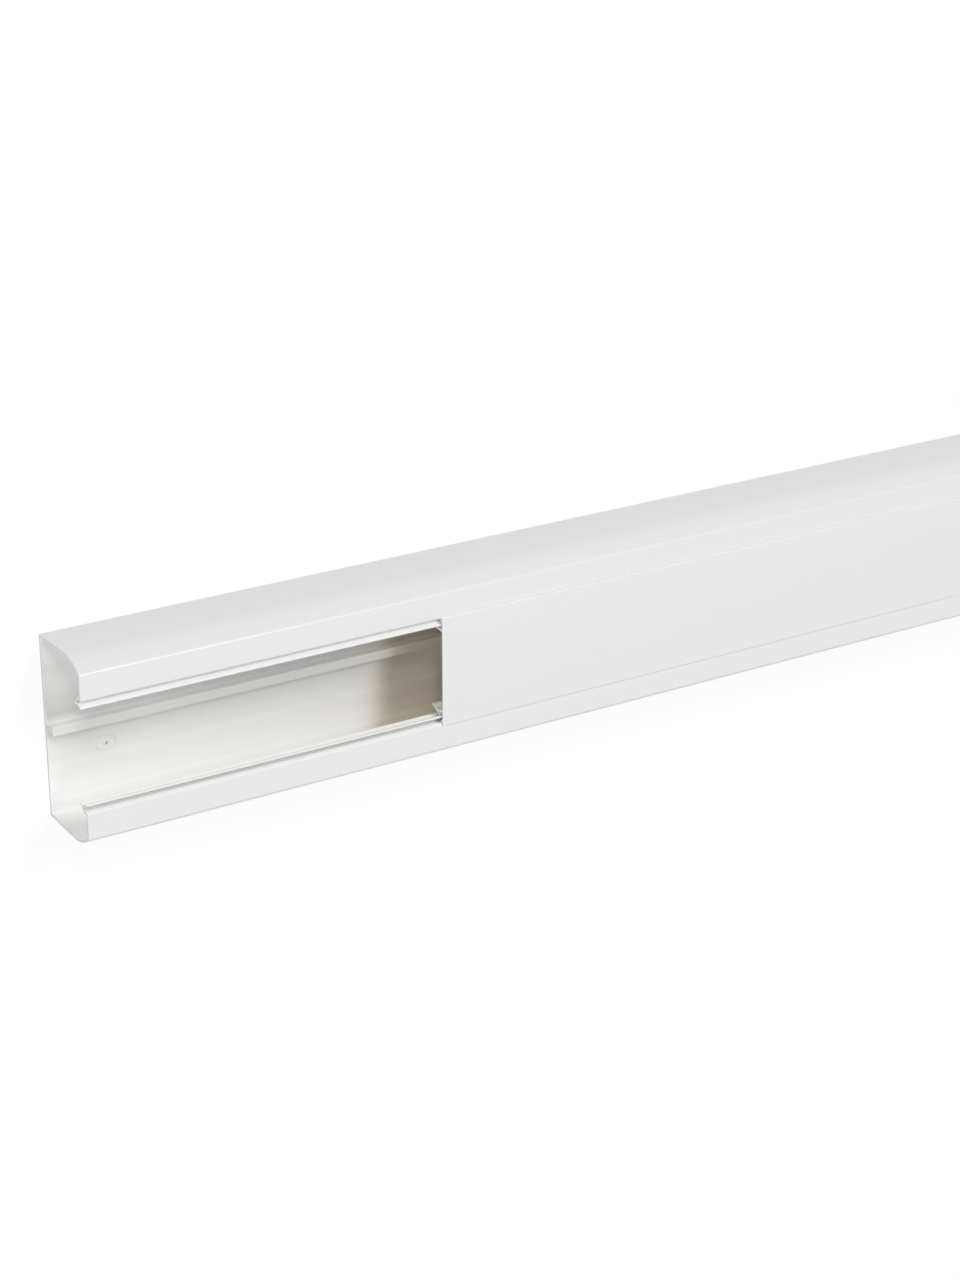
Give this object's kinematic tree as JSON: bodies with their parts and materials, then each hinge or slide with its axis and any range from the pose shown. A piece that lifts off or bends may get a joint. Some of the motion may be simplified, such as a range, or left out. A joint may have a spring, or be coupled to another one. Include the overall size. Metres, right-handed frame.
{
  "type": "cable trunking length",
  "caption": "Straight length of white wall trunking: a curved-shoulder open channel with clip lips and a mid rail, closed by a flat clip-on cover cut back at one end to show the inside.",
  "frame": {"origin": "centre of the length, on the back face that goes to the wall, at mid-height of the section", "axes": "+X along the length, away from the end where the cover is cut back; +Y across the section, up on a wall; +Z out of the wall, up as the length lies on its back"},
  "size_m": [2, 0.107, 0.0512],
  "materials": {
    "body_plastic": "satin white extruded rigid PVC, with faint lines along the extrusion",
    "cover_plastic": "satin white extruded rigid PVC, smooth outer face"
  },
  "bodies": {
    "root": {"trunking_body": "body_plastic", "cover": "cover_plastic"}
  },
  "joints": []
}
